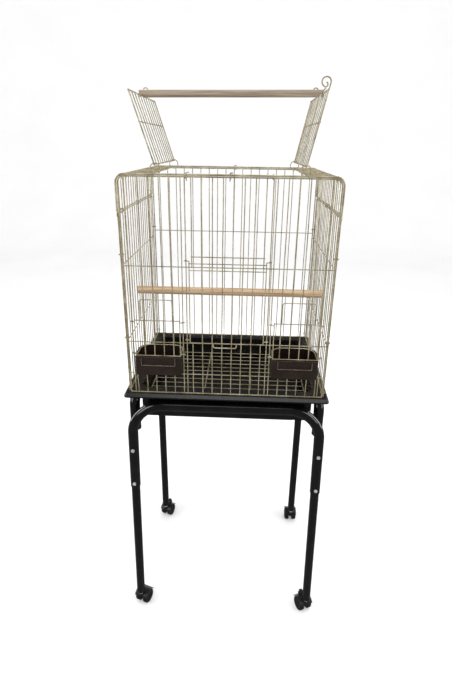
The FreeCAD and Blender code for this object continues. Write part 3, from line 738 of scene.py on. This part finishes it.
def backdrop():
    """A pale floor that sweeps up into a wall."""
    near, sweep_y, sweep_r, wall_top, half = -6.0, 4.5, 2.0, 9.0, 12.0
    steps = 16
    profile = [(near, 0.0), (sweep_y, 0.0)]
    for k in range(1, steps + 1):
        turn = math.pi / 2 * k / steps
        profile.append((sweep_y + sweep_r * math.sin(turn), sweep_r - sweep_r * math.cos(turn)))
    profile.append((sweep_y + sweep_r, wall_top))
    verts = [(x, y, z) for y, z in profile for x in (-half, half)]
    faces = [(2 * k, 2 * k + 1, 2 * k + 3, 2 * k + 2) for k in range(len(profile) - 1)]
    mesh = bpy.data.meshes.new("backdrop")
    mesh.from_pydata(verts, [], faces)
    floor = link("backdrop", mesh)
    smooth(mesh)
    made, tree, surface, place = material("pale_floor")
    stops = [(0.3, (0.80, 0.80, 0.80)), (0.7, (0.83, 0.83, 0.83))]
    colours(tree, surface, noise(tree, place, scale=2.0), stops)
    surface.inputs["Roughness"].default_value = 0.75
    surface.inputs["Emission Color"].default_value = (1.0, 1.0, 1.0, 1.0)
    surface.inputs["Emission Strength"].default_value = 0.15
    mesh.materials.append(made)
    floor.visible_glossy = False


def area_light(name, place, target, size, power):
    data = bpy.data.lights.new(name, "AREA")
    data.shape = "RECTANGLE"
    data.size, data.size_y = size
    data.energy = power
    light = link(name, data, place, target)
    light.visible_camera = False


def glow_card(name, place, target, size, strength):
    """A bright panel that only shows in glossy reflections."""
    across, high = size[0] / 2, size[1] / 2
    mesh = bpy.data.meshes.new(name)
    corners = [(-across, -high, 0), (across, -high, 0), (across, high, 0), (-across, high, 0)]
    mesh.from_pydata(corners, [], [(0, 1, 2, 3)])
    card = link(name, mesh, place, target)
    made, _, surface, _ = material(name)
    surface.inputs["Base Color"].default_value = (0, 0, 0, 1)
    surface.inputs["Emission Color"].default_value = (1, 1, 1, 1)
    surface.inputs["Emission Strength"].default_value = strength
    mesh.materials.append(made)
    card.visible_camera = False
    card.visible_diffuse = False
    card.visible_shadow = False


def surroundings():
    """A white world that looks dim in glossy reflections, so that the black tubes stay black."""
    world = bpy.data.worlds.new("studio")
    world.use_nodes = True
    tree = world.node_tree
    white = tree.nodes["Background"]
    dim = tree.nodes.new("ShaderNodeBackground")
    for background, strength in ((white, 1.0), (dim, 0.12)):
        background.inputs["Color"].default_value = (1.0, 1.0, 1.0, 1.0)
        background.inputs["Strength"].default_value = strength
    rays = tree.nodes.new("ShaderNodeLightPath")
    choice = tree.nodes.new("ShaderNodeMixShader")
    tree.links.new(rays.outputs["Is Glossy Ray"], choice.inputs["Fac"])
    tree.links.new(white.outputs["Background"], choice.inputs[1])
    tree.links.new(dim.outputs["Background"], choice.inputs[2])
    tree.links.new(choice.outputs["Shader"], tree.nodes["World Output"].inputs["Surface"])
    bpy.context.scene.world = world
    bpy.context.scene.view_settings.view_transform = "Standard"


def lighting():
    area_light("overhead", (0.2, -0.6, 3.4), (0, 0, 0.6), (2.6, 2.6), 42)
    area_light("left_box", (-2.4, -1.6, 1.9), (0, 0, 0.8), (1.2, 2.0), 24)
    area_light("right_box", (2.4, -1.2, 1.7), (0, 0, 0.8), (1.0, 2.0), 18)
    glow_card("rear_card", (0, 2.2, 0.4), (0, 0, 0.4), (2.4, 1.0), 3.0)
    glow_card("left_card", (-1.9, 0.3, 1.2), (0, 0, 0.6), (0.3, 2.0), 9.0)
    glow_card("right_card", (1.9, 0.3, 1.2), (0, 0, 0.6), (0.3, 2.0), 9.0)


def camera():
    """The viewpoint: in front of the door, a little above the roof, looking down."""
    place = Vector((0.03715, -1.18212 + CAGE_Y, 1.26185))
    yaw, pitch, roll = (math.radians(angle) for angle in (-2.235, -22.201, 0.799))
    level = Vector((math.sin(yaw), math.cos(yaw), 0))
    ahead = math.cos(pitch) * level + math.sin(pitch) * Z
    right = Vector((math.cos(yaw), -math.sin(yaw), 0))
    up = right.cross(ahead)
    across = math.cos(roll) * right + math.sin(roll) * up
    above = math.cos(roll) * up - math.sin(roll) * right
    turn = Matrix((across, above, -ahead)).transposed().to_4x4()
    data = bpy.data.cameras.new("camera")
    data.sensor_fit = "VERTICAL"
    data.sensor_height = 36.0
    data.lens = 25.27
    data.clip_start = 0.01
    eye = link("camera", data)
    eye.matrix_world = Matrix.Translation(place) @ turn
    bpy.context.scene.camera = eye


dress_frame()
front_panel()
back_panel()
for side in HAND:
    side_panel(side)
roof_cap()
for side in HAND:
    roof_leaf(side)
floor_grille()
front_door()
for side in HAND:
    feeder_door(side)
rail_hooks()
roof_catches()
tube_collars()
for corner in CASTERS:
    wheel_hubs(corner)
for side in HAND:
    cup_details(side)
backdrop()
surroundings()
lighting()
camera()
